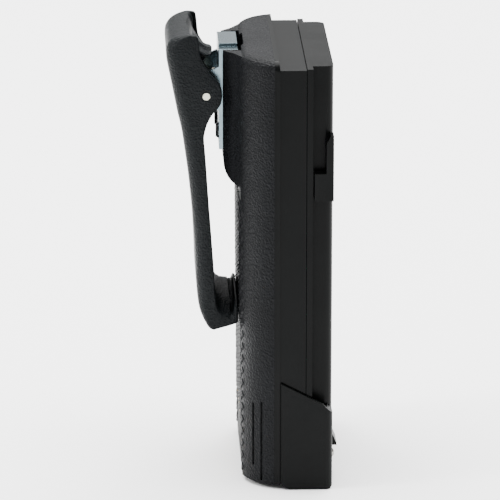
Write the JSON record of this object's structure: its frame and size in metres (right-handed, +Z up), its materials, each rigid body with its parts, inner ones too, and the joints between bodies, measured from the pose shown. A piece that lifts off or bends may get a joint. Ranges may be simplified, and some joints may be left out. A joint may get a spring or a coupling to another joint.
{
  "type": "portable radio battery pack",
  "caption": "Rechargeable battery pack of a portable two-way radio, with side hooks, charging contacts, a protective boot and a spring belt clip hinged on a steel bracket.",
  "frame": {"origin": "middle of the bottom of the pack's bounding box, level with the underside of the boot", "axes": "+Z up the pack, +X out of the face that meets the radio, -X towards the belt, +Y across"},
  "size_m": [0.044, 0.058, 0.118],
  "materials": {
    "grained_shell": "grained matte polycarbonate blend",
    "smooth_cover": "smooth satin polycarbonate blend",
    "boot_plastic": "fine satin texture",
    "zinc_steel": "bright zinc plate",
    "clip_nylon": "glass-filled nylon, fine grain",
    "pin_steel": "cut end, bright",
    "spring_steel": "drawn wire, oiled",
    "screw_steel": "zinc plate",
    "insert_brass": "turned",
    "nickel_contact": "nickel plate",
    "block_nylon": "moulded",
    "gold_contact": "thin gold plate",
    "cell_sleeve": "shrink sleeve",
    "nickel_strip": "rolled nickel",
    "insulator_paper": "pressed fibre sheet",
    "foam": "closed-cell foam",
    "circuit_board": "solder mask",
    "component_black": "moulded epoxy",
    "component_case": "sleeved case",
    "label_film": "blank film label"
  },
  "bodies": {
    "pack": {"back_shell": "grained_shell", "base_boot": "boot_plastic", "bottom_strap": "nickel_strip", "bracket_screws": "screw_steel", "cell_1": "cell_sleeve", "cell_2": "cell_sleeve", "cell_3": "cell_sleeve", "cell_4": "cell_sleeve", "cell_5": "cell_sleeve", "cell_6": "cell_sleeve", "cell_spacer": "insulator_paper", "charge_contacts": "gold_contact", "clip_bracket": "zinc_steel", "clip_pin": "pin_steel", "clip_spring": "spring_steel", "contact_block": "block_nylon", "control_chip": "component_black", "foam_pad_front": "foam", "foam_pad_top": "foam", "front_cover": "smooth_cover", "protection_board": "circuit_board", "radio_contacts": "nickel_contact", "rating_label": "label_film", "screw_inserts": "insert_brass", "thermal_fuse": "component_case", "thermistor": "component_black", "top_strap": "nickel_strip"},
    "clip": {"clip_lever": "clip_nylon"}
  },
  "joints": [
    {"name": "clip_hinge", "type": "hinge", "parent": "pack", "child": "clip", "pos_m": [-0.0117, 0, 0.1019], "axis": [0, 1, 0], "range_deg": [0, 8], "stiffness_Nm_per_rad": 0.6, "springref_deg": -28.65}
  ]
}
